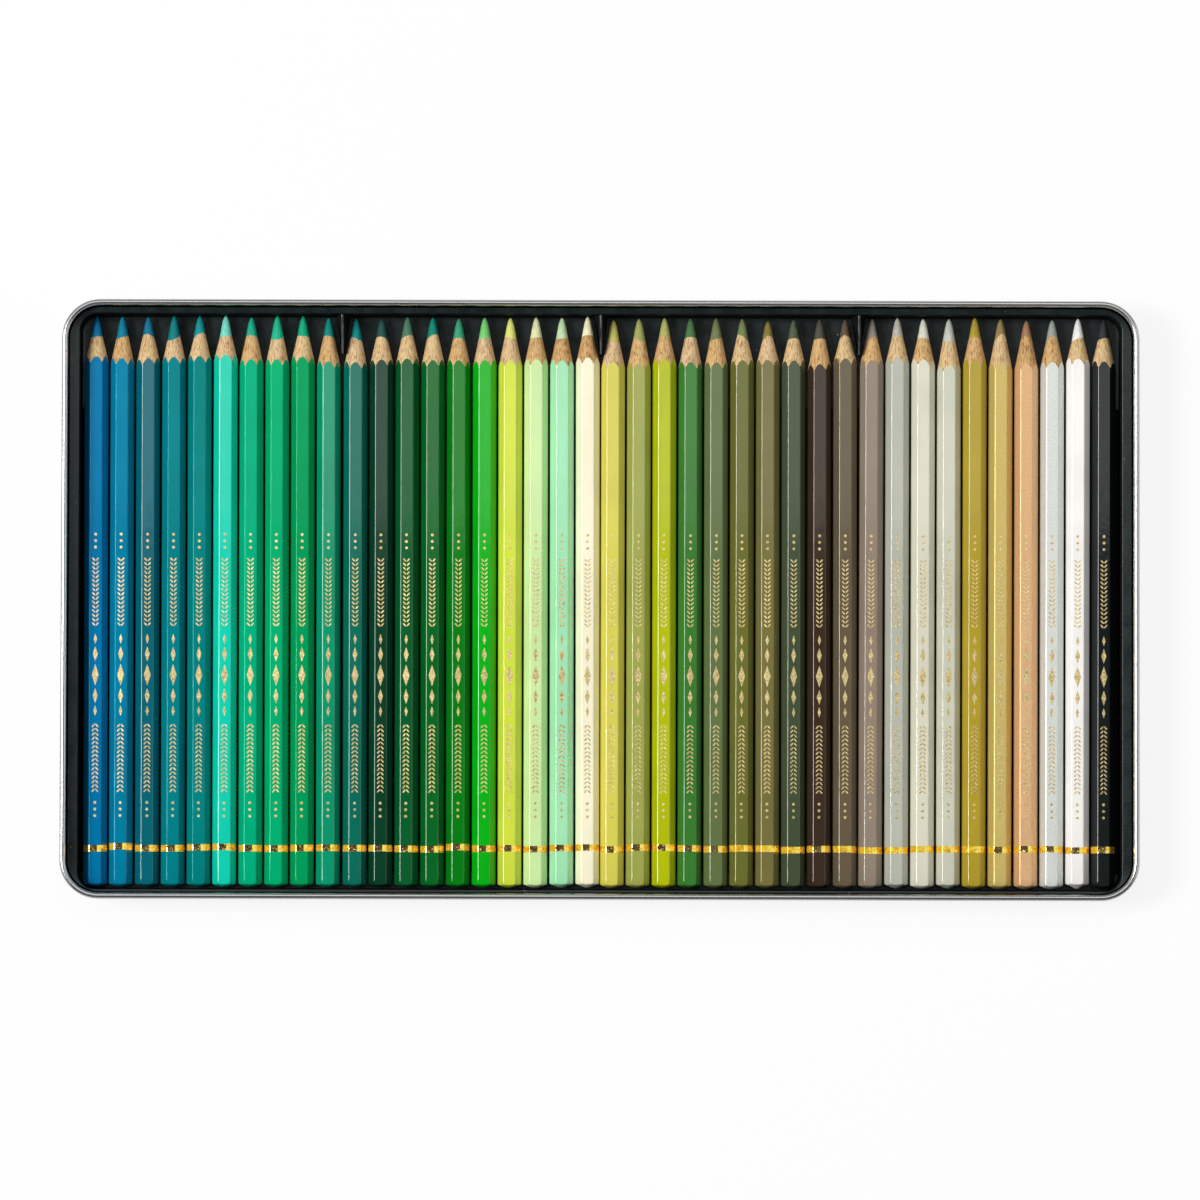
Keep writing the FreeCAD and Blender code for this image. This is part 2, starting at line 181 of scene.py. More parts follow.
silver, silver_shader = new_finish("satin_silver_tinplate", Metallic=1.0)
grain = speckle(silver, 2200, (1, 1, 1), 3)
rolled = speckle(silver, 1100, (0.012, 0.012, 1), 3)
silver_tone = two_tone(silver, rolled, (0.478, 0.483, 0.492, 1), (0.535, 0.537, 0.541, 1))
silver.node_tree.links.new(silver_tone, silver_shader.inputs["Base Color"])
silver.node_tree.links.new(between(silver, grain, 0.2, 0.27), silver_shader.inputs["Roughness"])
uneven(silver, silver_shader, grain, 0.0015 * MM)

tin = made_piece("tin_base_drawn", formed_sheet(tin_outlines), [silver])
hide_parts("tin_base")
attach(tin, "tin")


# Pencil tray: one sheet of glossy black plastic, formed hot over a mould. A lip that falls a little inwards
# goes round a deep recess, ridges part the pencils, and three wedges stand between the tips. It lies loose
# in the tin.
TRAY_SHEET = 0.5 * MM
LIP_TOP = 12.35 * MM
LIP_EDGE = 0.15 * MM
LIP_FALL = 0.17 * MM
RECESS_EDGE = 0.16 * MM
RECESS_X = 159.16 * MM
RECESS_Y = 87.98 * MM
RECESS_MIDDLE = -0.5 * MM
RECESS_CORNER = 5.3 * MM
TRAY_CORNER = 9.6 * MM
TRAY_DRAFT = math.tan(math.radians(1))
TRAY_FOOT = 0.45 * MM
# Slot 1 is a lighter plastic on the divider edges, as painted highlight.
# Slot 2 is a darker, matt plastic, as painted shade on the walls, the ribs and the floor behind the ridges.
PAINTED_EDGE_HIGHLIGHT, PAINTED_SHADE = 1, 2

tray_low, tray_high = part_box("pencil_tray")
tray_floor = tray_low.z + TRAY_SHEET


def recess(out, up):
    """Outline of the recess, pushed outwards, at a level. The walls lean in towards the floor."""
    reach = out - (LIP_TOP - up) * TRAY_DRAFT
    return RECESS_X + reach, RECESS_Y + reach, RECESS_CORNER + reach, RECESS_MIDDLE, up


def lip(inwards, up):
    """Outline of the lip, drawn in a little, at a level."""
    return tray_high.x - inwards, tray_high.y - inwards, TRAY_CORNER - inwards, 0, up


outer_foot = bend(TRAY_SHEET - TRAY_FOOT, tray_low.z + TRAY_FOOT, TRAY_FOOT, -90, 0, 4)
inner_edge = bend(RECESS_EDGE, LIP_TOP - LIP_FALL - RECESS_EDGE, RECESS_EDGE, 90, 180, 4)
inner_foot = bend(-TRAY_FOOT, tray_floor + TRAY_FOOT, TRAY_FOOT, 0, -90, 4)
tray_outlines = (
    [recess(out, up) for out, up in outer_foot]
    + [recess(TRAY_SHEET, LIP_TOP - TRAY_SHEET)]
    + [lip(LIP_EDGE, LIP_TOP - TRAY_SHEET), lip(0, LIP_TOP - TRAY_SHEET + LIP_EDGE)]
    + [lip(0, LIP_TOP - LIP_EDGE), lip(LIP_EDGE, LIP_TOP)]
    + [recess(out, up) for out, up in inner_edge]
    + [recess(out, up) for out, up in inner_foot]
)
tray_bm = formed_sheet(tray_outlines)

PENCIL_PITCH = 7.8956 * MM
PENCIL_COUNT = 40
BED_FRONT = 59.3 * MM
RIDGE_FOOT = 1.69 * MM
RIDGE_CREST = 0.3 * MM
RIDGE_TOP = 3.26 * MM
RIDGE_ROUND = 0.28 * MM
RIDGE_BUTT = -82.5 * MM
LEDGE_BUTT = -82.9 * MM

bmesh.ops.recalc_face_normals(tray_bm, faces=tray_bm.faces)
# Steep faces, and the floor behind the ridges, take the darker matt plastic as painted shade.
for face in tray_bm.faces:
    middle = face.calc_center_median()
    steep = 0.97 if middle.z < LIP_TOP - MM else 0.3
    behind_ridges = middle.z < LIP_TOP - MM and middle.y < RIDGE_BUTT
    if abs(face.normal.z) < steep or behind_ridges:
        face.material_index = PAINTED_SHADE


def rib(bm, root, nose, round_off):
    """A rib between two sections: place in Y, middle in X, half foot, half crest and top level."""
    corners = bmesh.ops.create_cube(bm, size=2)["verts"]
    for vert in corners:
        place, middle, foot, crest, top = root if vert.co.y > 0 else nose
        half = crest if vert.co.z > 0 else foot
        level = top if vert.co.z > 0 else tray_floor - TRAY_SHEET / 2
        vert.co = (middle + half * vert.co.x, place, level)
    # Every face of a rib takes the darker matt plastic as painted shade between the pencils.
    for face in {face for vert in corners for face in vert.link_faces}:
        face.material_index = PAINTED_SHADE
    sides = {edge for vert in corners for edge in vert.link_edges}
    raised = [edge for edge in sides if max(vert.co.z for vert in edge.verts) > tray_floor]
    return bmesh.ops.bevel(
        bm, geom=raised, offset=round_off, affect="EDGES", segments=3, profile=0.5, material=-1
    )["faces"]


for step in range(1, PENCIL_COUNT):
    across = (step - PENCIL_COUNT / 2) * PENCIL_PITCH
    rib(
        tray_bm,
        (BED_FRONT, across, RIDGE_FOOT, RIDGE_CREST, RIDGE_TOP),
        (RIDGE_BUTT, across, RIDGE_FOOT, RIDGE_CREST, RIDGE_TOP),
        RIDGE_ROUND,
    )
for side in (-1, 1):
    bed_edge = PENCIL_COUNT / 2 * PENCIL_PITCH - RIDGE_FOOT
    across = side * (bed_edge + RECESS_X) / 2
    half_foot = (RECESS_X - bed_edge) / 2
    rib(
        tray_bm,
        (BED_FRONT, across, half_foot, half_foot - RIDGE_FOOT + RIDGE_CREST, RIDGE_TOP),
        (LEDGE_BUTT, across, half_foot, half_foot - RIDGE_FOOT + RIDGE_CREST, RIDGE_TOP),
        RIDGE_ROUND,
    )

DIVIDER_ROOT = 87.3 * MM
DIVIDER_NOSE = 75.45 * MM
DIVIDER_ROUND = 0.22 * MM
for bay in (-1, 0, 1):
    across = bay * 10 * PENCIL_PITCH
    divider_edges = rib(
        tray_bm,
        (DIVIDER_ROOT, across, 2.15 * MM, 0.32 * MM, 10.85 * MM),
        (DIVIDER_NOSE, across, 0.45 * MM, 0.24 * MM, 7.85 * MM),
        DIVIDER_ROUND,
    )
    # The rounded edges of each divider take the lighter plastic, as painted highlight.
    for face in divider_edges:
        face.material_index = PAINTED_EDGE_HIGHLIGHT

black_plastic, black_shader = new_finish("black_formed_plastic", Specular_IOR_Level=0.42)
haze = speckle(black_plastic, 160, (1, 1, 1), 3)
drawn_out = speckle(black_plastic, 420, (1, 1, 0.15), 2)
dust_place = node(black_plastic.node_tree, "TexCoord", {}).outputs["Object"]
dust = node(black_plastic.node_tree, "TexVoronoi", {"Vector": dust_place, "Scale": 190}).outputs["Distance"]
plastic_tone = two_tone(black_plastic, haze, (0.0032, 0.0085, 0.009, 1), (0.006, 0.0125, 0.0135, 1))
dusty = node(
    black_plastic.node_tree,
    "Mix",
    {0: between(black_plastic, dust, 1, 0, 0.03, 0.06), 6: plastic_tone, 7: (0.16, 0.17, 0.17, 1)},
    data_type="RGBA",
)
black_plastic.node_tree.links.new(dusty.outputs[2], black_shader.inputs["Base Color"])
black_plastic.node_tree.links.new(between(black_plastic, haze, 0.22, 0.33), black_shader.inputs["Roughness"])
uneven(black_plastic, black_shader, drawn_out, 0.02 * MM)

# Lighter plastic on the rounded edges of the dividers, as painted highlight.
edge_painted_highlight, edge_highlight_shader = new_finish("plastic_edge_painted_highlight", Specular_IOR_Level=0.6)
edge_mottle = speckle(edge_painted_highlight, 500, (1, 0.5, 1), 3)
edge_highlight_tone = two_tone(edge_painted_highlight, edge_mottle, (0.02, 0.023, 0.023, 1), (0.13, 0.14, 0.142, 1))
edge_painted_highlight.node_tree.links.new(edge_highlight_tone, edge_highlight_shader.inputs["Base Color"])
edge_painted_highlight.node_tree.links.new(between(edge_painted_highlight, edge_mottle, 0.16, 0.3), edge_highlight_shader.inputs["Roughness"])
uneven(edge_painted_highlight, edge_highlight_shader, edge_mottle, 0.02 * MM)

# Darker, matt plastic for the walls, the ribs and the floor behind the ridges, as painted shade in the
# recess.
wall_painted_shade, wall_shader = new_finish("plastic_wall_painted_shade", Specular_IOR_Level=0.1)
wall_mottle = speckle(wall_painted_shade, 300, (1, 1, 0.2), 3)
wall_tone = two_tone(wall_painted_shade, wall_mottle, (0.003, 0.0042, 0.0042, 1), (0.006, 0.008, 0.008, 1))
wall_painted_shade.node_tree.links.new(wall_tone, wall_shader.inputs["Base Color"])
wall_painted_shade.node_tree.links.new(between(wall_painted_shade, wall_mottle, 0.55, 0.75), wall_shader.inputs["Roughness"])
uneven(wall_painted_shade, wall_shader, wall_mottle, 0.03 * MM)

tray = made_piece("pencil_tray_formed", tray_bm, [black_plastic, edge_painted_highlight, wall_painted_shade])
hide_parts("pencil_tray")
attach(tray, "tray")


# Gold foil: hot-stamped on every pencil, as a ring near the butt end and as an ornament of leaves, lozenges
# and dots along the upper face. The film is pressed a little into the lacquer, so it wrinkles.
PENCIL_TOP = 7.35 * MM
FOIL = 0.02 * MM
ORNAMENT_MIDDLE = -23 * MM
LACQUER, CEDAR, CORE, RING, MARKS, PAINTED_REFLECTION, PAINTED_HIGHLIGHT = range(7)

gold_foil, gold_shader = new_finish("gold_foil", Metallic=1.0)
wrinkle = speckle(gold_foil, 1300, (1, 0.5, 1), 3)
wear = speckle(gold_foil, 2200, (1, 1, 1), 1)
gold_foil.node_tree.links.new(
    two_tone(gold_foil, wear, (0.86, 0.55, 0.13, 1), (1.0, 0.76, 0.33, 1)), gold_shader.inputs["Base Color"]
)
gold_foil.node_tree.links.new(between(gold_foil, wear, 0.06, 0.12), gold_shader.inputs["Roughness"])
uneven(gold_foil, gold_shader, wrinkle, 0.13 * MM)

# Orange, less metallic copy of the foil for the sides and rounded corners of each ring, as painted reflection
# of the neighbouring rings. The rings listed below take it all over.
gold_painted_reflection, painted_reflection_shader = new_finish("gold_foil_painted_reflection", Metallic=0.35)
crumple = speckle(gold_painted_reflection, 900, (1, 1, 1), 3)
painted_reflection_tone = two_tone(gold_painted_reflection, crumple, (0.78, 0.4, 0.01, 1), (1.0, 0.73, 0.08, 1))
gold_painted_reflection.node_tree.links.new(painted_reflection_tone, painted_reflection_shader.inputs["Base Color"])
gold_painted_reflection.node_tree.links.new(between(gold_painted_reflection, crumple, 0.16, 0.32), painted_reflection_shader.inputs["Roughness"])
uneven(gold_painted_reflection, painted_reflection_shader, crumple, 0.1 * MM)

# Brighter, less metallic foil on the right-hand corner of each ring, as painted highlight where a lamp on the
# right would catch it.
gold_painted_highlight, painted_highlight_shader = new_finish("gold_foil_painted_highlight", Metallic=0.3)
highlight_mottle = speckle(gold_painted_highlight, 1100, (1, 1, 1), 2)
gold_painted_highlight.node_tree.links.new(
    two_tone(gold_painted_highlight, highlight_mottle, (1.0, 0.66, 0.05, 1), (1.0, 0.87, 0.2, 1)), painted_highlight_shader.inputs["Base Color"]
)
gold_painted_highlight.node_tree.links.new(between(gold_painted_highlight, highlight_mottle, 0.22, 0.36), painted_highlight_shader.inputs["Roughness"])
uneven(gold_painted_highlight, painted_highlight_shader, highlight_mottle, 0.06 * MM)

gold_leaf, leaf_shader = new_finish("gold_leaf_marks", Metallic=1.0)
leaf_wear = speckle(gold_leaf, 1500, (1, 1, 1), 2)
leaf_tone = two_tone(gold_leaf, leaf_wear, (0.66, 0.48, 0.17, 1), (1.0, 0.84, 0.46, 1))
gold_leaf.node_tree.links.new(leaf_tone, leaf_shader.inputs["Base Color"])
gold_leaf.node_tree.links.new(between(gold_leaf, leaf_wear, 0.3, 0.42), leaf_shader.inputs["Roughness"])
uneven(gold_leaf, leaf_shader, leaf_wear, 0.05 * MM)

ornament_bm = bmesh.new()


def stamped(along, across, length, width, turn=0, corners=4):
    """One mark of foil: a lozenge, leaf or dot that lies flat at its place, turned by some degrees."""
    place = Matrix.Translation((across, along, 0)) @ Matrix.Rotation(math.radians(turn), 4, "Z")
    size = Matrix.Diagonal((width / 2, length / 2, 1, 1))
    bmesh.ops.create_circle(ornament_bm, cap_ends=True, segments=corners, radius=1, matrix=place @ size)


LEAVES = 16
LEAF_STEP = 1.32 * MM
for end in (-1, 1):
    for leaf in range(LEAVES):
        along = end * (15.5 * MM + leaf * LEAF_STEP)
        for side in (-1, 1):
            stamped(along, side * 0.55 * MM, 1.45 * MM, 0.52 * MM, -side * end * 42, 6)
    for dot in range(3):
        stamped(end * (39 * MM + dot * 2 * MM), 0, 0.9 * MM, 0.9 * MM, 0, 10)
    stamped(end * 6.4 * MM, 0, 4.6 * MM, 1.5 * MM)
    stamped(end * 11 * MM, 0, 3.2 * MM, 1.0 * MM)
stamped(0, 0, 6.6 * MM, 2.1 * MM)
bmesh.ops.solidify(ornament_bm, geom=ornament_bm.faces[:], thickness=2 * FOIL)
bmesh.ops.recalc_face_normals(ornament_bm, faces=ornament_bm.faces)
ornament_top = max(vert.co.z for vert in ornament_bm.verts)
bmesh.ops.translate(ornament_bm, verts=ornament_bm.verts, vec=(0, ORNAMENT_MIDDLE, PENCIL_TOP - ornament_top))
for face in ornament_bm.faces:
    face.material_index = MARKS
ornament = bpy.data.meshes.new("foil_ornament")
ornament_bm.to_mesh(ornament)
ornament_bm.free()


# Cedar of the casings: the cut cones show straight fine grain, paler or redder from pencil to pencil.
# A machine sharpened them, and the wood is left raw.
CEDAR_TONES = {
    "pale": ((218, 188, 138), (158, 114, 70)),
    "pink": ((217, 187, 141), (156, 108, 74)),
    "amber": ((212, 174, 117), (148, 99, 56)),
    "russet": ((207, 166, 109), (136, 88, 50)),
}
cedar = {}
for tone, (light_wood, dark_wood) in CEDAR_TONES.items():
    cedar[tone], cedar_shader = new_finish(f"cedar_{tone}", Specular_IOR_Level=0.25)
    fibre = speckle(cedar[tone], 2900, (1, 0.05, 1), 3)
    growth = speckle(cedar[tone], 700, (1, 0.04, 1), 2)
    streaked = two_tone(cedar[tone], fibre, shade(*dark_wood), shade(*light_wood), 0.38, 0.52)
    banded = node(
        cedar[tone].node_tree,
        "Mix",
        {0: between(cedar[tone], growth, 0.0, 0.45), 6: streaked, 7: shade(*light_wood)},
        data_type="RGBA",
    )
    cedar[tone].node_tree.links.new(banded.outputs[2], cedar_shader.inputs["Base Color"])
    cedar[tone].node_tree.links.new(between(cedar[tone], fibre, 0.75, 0.55), cedar_shader.inputs["Roughness"])
    uneven(cedar[tone], cedar_shader, fibre, 0.04 * MM)


# Pencils: hexagonal cedar casings round a coloured core, dipped in many coats of glossy lacquer and then
# sharpened. They lie loose in the grooves of the tray, each with its own lacquer, core and cut.
PENCILS = [
    # node, lacquer, core, cedar, and in mm: how far the core's edge lies towards the butt, how far it drops
    # to the left, how far the tip is worn back, and how far the lacquer's edge lies towards the butt
    ("pencil_01_cerulean_blue", (4, 114, 164), (0, 112, 158), "pale", -0.1, 0.5, 0.0, -0.1),
    ("pencil_02_cyan_blue", (2, 122, 156), (0, 116, 142), "amber", 0.0, 1.2, 0.1, 0.4),
    ("pencil_03_petrol_blue", (2, 98, 112), (10, 108, 138), "pale", -1.0, -0.8, 0.1, 0.4),
    ("pencil_04_teal_blue", (2, 124, 132), (0, 118, 120), "pink", 0.9, 1.6, -0.2, 0.3),
    ("pencil_05_deep_turquoise", (2, 126, 124), (4, 138, 142), "pale", -1.0, 1.3, -0.2, 0.0),
    ("pencil_06_light_turquoise", (12, 204, 174), (112, 208, 188), "pink", -0.1, 0.5, -0.3, -0.4),
    ("pencil_07_emerald", (2, 168, 120), (24, 160, 130), "amber", -0.9, -0.3, 0.2, 0.5),
    ("pencil_08_jade_green", (2, 168, 108), (28, 172, 132), "pink", 1.0, 0.5, -0.3, 1.0),
    ("pencil_09_viridian", (2, 150, 86), (6, 160, 118), "pale", -0.3, -0.3, -0.2, 0.1),
    ("pencil_10_sea_green", (6, 146, 106), (6, 128, 116), "amber", -0.9, -0.6, 0.3, 1.0),
    ("pencil_11_dark_teal", (6, 106, 88), (6, 130, 126), "pink", -0.2, -1.4, 0.5, 1.0),
    ("pencil_12_night_green", (8, 60, 38), (34, 78, 72), "pale", -0.9, -0.6, 0.6, 0.1),
    ("pencil_13_fir_green", (6, 90, 42), (72, 120, 92), "pale", -0.7, 1.0, 0.0, 0.4),
    ("pencil_14_forest_green", (4, 100, 34), (6, 126, 108), "pale", -1.0, 1.3, 0.1, 0.8),
    ("pencil_15_leaf_green", (4, 122, 20), (52, 152, 114), "amber", -0.5, -0.3, 0.5, 0.4),
    ("pencil_16_bright_green", (6, 174, 22), (112, 196, 108), "pink", 0.0, 0.2, 0.1, 0.7),
    ("pencil_17_lime_yellow", (206, 220, 66), (212, 214, 112), "pink", -0.3, -0.6, 0.2, 0.7),
    ("pencil_18_pale_lime", (202, 232, 162), (214, 218, 168), "amber", -0.2, 0.2, 0.0, 0.4),
    ("pencil_19_mint_green", (160, 226, 176), (182, 210, 166), "russet", 0.0, 0.2, 0.1, 0.7),
    ("pencil_20_cream", (244, 238, 206), (238, 228, 188), "russet", -0.7, 0.1, -0.3, 0.3),
    ("pencil_21_straw_yellow", (210, 202, 84), (186, 180, 94), "pink", 0.1, -0.8, 0.8, 0.5),
    ("pencil_22_khaki_green", (156, 162, 78), (154, 158, 92), "amber", 0.1, -1.6, 0.4, 1.3),
    ("pencil_23_acid_green", (176, 186, 6), (170, 170, 96), "amber", -0.9, -0.5, 0.1, 0.2),
    ("pencil_24_moss_green", (54, 120, 44), (70, 112, 66), "pink", -0.7, 0.0, 0.2, 1.1),
    ("pencil_25_grey_green", (96, 112, 66), (108, 118, 78), "amber", 0.1, 0.9, 0.1, 1.2),
    ("pencil_26_olive_green", (104, 107, 44), (114, 128, 80), "pale", -1.1, -2.1, 0.3, 0.3),
    ("pencil_27_olive_brown", (116, 110, 60), (128, 114, 56), "pink", -1.9, 0.8, 1.0, -0.5),
    ("pencil_28_dark_grey_green", (66, 78, 54), (80, 92, 68), "pale", -0.8, 0.1, 0.6, 0.1),
    ("pencil_29_dark_brown", (58, 43, 31), (76, 74, 64), "amber", -0.5, 0.2, 0.4, 1.4),
    ("pencil_30_brown_grey", (100, 88, 66), (98, 78, 62), "pale", -1.6, 0.1, 0.5, -0.6),
    ("pencil_31_warm_grey", (144, 129, 113), (144, 136, 124), "amber", -0.6, 1.4, 0.1, 0.4),
    ("pencil_32_light_grey", (180, 182, 168), (178, 175, 162), "pale", -1.0, 0.1, -0.1, -0.1),
    ("pencil_33_pale_beige", (214, 211, 191), (208, 208, 192), "amber", -0.6, -0.2, 0.2, 0.0),
    ("pencil_34_ash_grey", (200, 201, 181), (186, 186, 178), "pale", 0.6, -0.1, 0.2, 1.8),
    ("pencil_35_ochre", (175, 152, 42), (166, 144, 48), "amber", -0.4, -0.2, -0.2, 0.5),
    ("pencil_36_gold", (193, 172, 98), (140, 122, 76), "pale", -1.7, 1.3, 0.2, 1.3),
    ("pencil_37_copper", (208, 164, 118), (156, 114, 86), "russet", -1.9, 0.0, 0.7, 0.8),
    ("pencil_38_silver", (203, 206, 200), (150, 156, 150), "amber", -1.5, 0.7, 0.5, 0.5),
    ("pencil_39_white", (240, 237, 232), (232, 230, 225), "pale", -0.3, 1.1, 0.0, -0.1),
    ("pencil_40_black", (20, 26, 26), (46, 52, 52), "pale", -0.8, 0.4, 0.4, 0.4),
]
METALLIC_LACQUERS = ("gold", "copper", "silver")
DEEP_BLUES = ("cerulean_blue", "cyan_blue", "teal_blue", "deep_turquoise")
DEEP_GREENS = ("emerald", "jade_green", "viridian")
BUTT_DRIPS = {"mint_green": 0.25, "cream": 0.3, "light_grey": 0.35, "ash_grey": 0.35, "white": 0.6}
HALF_FLATS = 3.25 * MM - FOIL
EDGE_ROUND = 0.55 * MM
PENCIL_AXIS = 4.1 * MM
BUTT = -87.68 * MM
TIP = 86.92 * MM
CONE = math.tan(math.radians(12.9))
TIP_FLAT = 0.37 * MM
CORE_RADIUS = 1.85 * MM
# Bullet shape of a worn core, as shares of its length from the tip and of its radius
NOSE = (
    (0.65, 0.79), (0.4, 0.63), (0.23, 0.485), (0.124, 0.355), (0.065, 0.26), (0.028, 0.168), (0.006, 0.08)
)
DOME_RISE = 1.05 * MM
RING_PLACE = -75.7 * MM
RING_HALF = 1.0 * MM
RING_SUNK = 0.006 * MM
# Rings that take the foil with painted reflection on their top faces too, so that they read brighter.
RINGS_WITH_PAINTED_REFLECTION = (26, 27, 28, 30, 31, 32, 33, 34, 35)
ROUND_STEPS = 5

hexagon = []
corner_middle = (HALF_FLATS - EDGE_ROUND) / math.cos(math.radians(30))
half_flat = (HALF_FLATS - EDGE_ROUND) * math.tan(math.radians(30))
for corner in range(6):
    facing = math.radians(60 * corner)
    out = Vector((math.cos(facing), math.sin(facing)))
    middle = out * corner_middle
    for step in range(ROUND_STEPS + 1):
        turn = facing + math.radians(-30 + 60 * step / ROUND_STEPS)
        hexagon.append(middle + EDGE_ROUND * Vector((math.cos(turn), math.sin(turn))))
    next_flat = facing + math.radians(30)
    flat_out = Vector((math.cos(next_flat), math.sin(next_flat)))
    flat_along = Vector((-flat_out.y, flat_out.x))
    for share in (-0.82, -0.45, 0, 0.45, 0.82):
        hexagon.append(flat_out * HALF_FLATS + flat_along * share * half_flat)
reach = [spot.length for spot in hexagon]


def lacquered(name, colour):
    """Glossy lacquer in many coats: deep colour, a trace of cloud, and the ripple that dipping leaves."""
    metallic = name in METALLIC_LACQUERS
    finish, shader = new_finish(f"lacquer_{name}", Metallic=0.3 if metallic else 0.0, Specular_IOR_Level=0.5)
    if name in DEEP_BLUES + DEEP_GREENS:
        shader.inputs["Specular Tint"].default_value = shade(*[120 + part * 0.53 for part in colour])
    cloud = speckle(finish, 2600 if metallic else 60, (1, 1, 1), 2)
    ripple = speckle(finish, 620, (1, 0.6, 1), 2)
    streak = speckle(finish, 1400, (1, 0.015, 1), 1)
    light, dark = (1.3, 1.06) if metallic else (1.04, 0.95)
    colours = shade(*colour, dark), shade(*colour, light)
    finish.node_tree.links.new(two_tone(finish, cloud, *colours), shader.inputs["Base Color"])
    rough = (0.3, 0.42) if metallic else (0.05, 0.09)
    finish.node_tree.links.new(between(finish, ripple, *rough), shader.inputs["Roughness"])
    sockets = {0: streak, 1: 0.22, 2: ripple}
    height = node(finish.node_tree, "Math", sockets, operation="MULTIPLY_ADD").outputs[0]
    uneven(finish, shader, height, 0.011 * MM)
    return finish


def pressed_core(name, colour):
    """Core of wax and pigment: matt, with the fine scoring that sharpening leaves on it."""
    finish, shader = new_finish(f"core_{name}", Specular_IOR_Level=0.2)
    score = speckle(finish, 3000, (1, 0.2, 1), 3)
    colours = (shade(*colour, 0.9), shade(*colour, 1.22))
    finish.node_tree.links.new(two_tone(finish, score, *colours), shader.inputs["Base Color"])
    finish.node_tree.links.new(between(finish, score, 0.45, 0.65), shader.inputs["Roughness"])
    uneven(finish, shader, score, 0.02 * MM)
    return finish


def cone_place(radius, tip):
    """Where along the pencil the sharpened cone has a radius."""
    return tip - (radius - TIP_FLAT) / CONE


def grown_on(bm, edges, spots, places, finish):
    """Draws the open end of a shape on to new places, one for each spot of the outline."""
    made = bmesh.ops.extrude_edge_only(bm, edges=edges)["geom"]
    fresh = {item for item in made if isinstance(item, bmesh.types.BMVert)}
    for vert in fresh:
        vert.co = places[vert[spots]]
    for item in made:
        if isinstance(item, bmesh.types.BMFace):
            item.material_index = finish
    return [item for item in made if isinstance(item, bmesh.types.BMEdge) and fresh.issuperset(item.verts)]


def pencil_shape(number, core_drop, left_drop, worn, lacquer_drop, drip):
    """One pencil as a closed skin, from the domed butt over the ring and the cut cone to the tip."""
    chance = random.Random(number)
    tip = TIP - worn * MM
    ring = RING_PLACE + chance.uniform(-0.4, 0.4) * MM
    toward = [Vector((spot.x, 0, spot.y)) / size for spot, size in zip(hexagon, reach)]
    core_shift = Vector((-left_drop * CONE / 2, 0, core_drop * CONE)) * MM
    core_reach = [CORE_RADIUS + core_shift.dot(way) + chance.uniform(-0.03, 0.03) * MM for way in toward]
    off_centre = Vector((chance.uniform(-0.07, 0.07), 0, 0)) * MM
    astray = [off_centre.dot(way) - lacquer_drop * CONE * MM for way in toward]
    chips = chance.choice((0.006, 0.012, 0.03)) * MM
    ragged = [size - aside + chance.uniform(-chips, chips) for size, aside in zip(reach, astray)]

    def at(sizes, places):
        return [way * size + Vector((0, place, 0)) for way, size, place in zip(toward, sizes, places)]

    def domed(share):
        drop = BUTT + drip * MM * min(1.0, share / 0.55)
        sizes = [size * share for size in reach]
        return at(sizes, [drop + DOME_RISE * (size / max(reach)) ** 2 for size in sizes])

    def barrel(place, sunk=0.0):
        return at([size - sunk for size in reach], [place] * len(reach))

    def cut(sizes, share=1.0):
        axial = [size - aside * (1 - share) for size, aside in zip(sizes, astray)]
        return at(sizes, [cone_place(size, tip) for size in axial])

    shoulder = [place + Vector((0, 0.3 * MM, 0)) for place in domed(1)]
    softened = [place + Vector((0, 0.08 * MM, 0)) for place in domed(0.985)]
    bands = [(domed(share), LACQUER) for share in (0.35, 0.6, 0.8, 0.93)]
    bands += [(softened, LACQUER), (shoulder, LACQUER), (barrel(BUTT + 2.6 * MM), LACQUER)]
    bands += [(barrel(ring - RING_HALF), LACQUER), (barrel(ring - 0.7 * RING_HALF, RING_SUNK), RING)]
    bands += [(barrel(ring + 0.7 * RING_HALF, RING_SUNK), RING), (barrel(ring + RING_HALF), RING)]
    scallop = at(reach, [cone_place(size, tip) for size in ragged])
    bands += [(scallop, LACQUER)]
    for share in (0.4, 0.75, 1):
        sizes = [wide + (core - wide) * share for wide, core in zip(reach, core_reach)]
        bands.append((cut(sizes, share), CEDAR))
    for along, wide in NOSE:
        places = [tip - (tip - cone_place(core, tip)) * along for core in core_reach]
        bands.append((at([core * wide for core in core_reach], places), CORE))

    bm = bmesh.new()
    spots = bm.verts.layers.int.new("spot")
    start = bmesh.ops.create_circle(bm, cap_ends=True, segments=len(hexagon), radius=1)["verts"]
    for spot, (vert, place) in enumerate(zip(start, domed(0.12))):
        vert[spots] = spot
        vert.co = place
    edges = bm.edges[:]
    for places, finish in bands:
        edges = grown_on(bm, edges, spots, places, finish)
    closed = bmesh.ops.holes_fill(bm, edges=edges, sides=0)["faces"]
    for face in closed:
        face.material_index = CORE
    bm.normal_update()
    for face in bm.faces:
        # Faces on the right-hand corner of a ring take the foil with painted highlight. The sides and rounded
        # corners take the orange foil with painted reflection.
        lit_right_corner = face.normal.z > 0.55 and face.calc_center_median().x > 0.6 * half_flat
        if face.material_index == RING and lit_right_corner:
            face.material_index = PAINTED_HIGHLIGHT
        elif face.material_index == RING and (number in RINGS_WITH_PAINTED_REFLECTION or face.normal.z < 0.95):
            face.material_index = PAINTED_REFLECTION
    bm.verts.layers.int.remove(spots)
    return bm


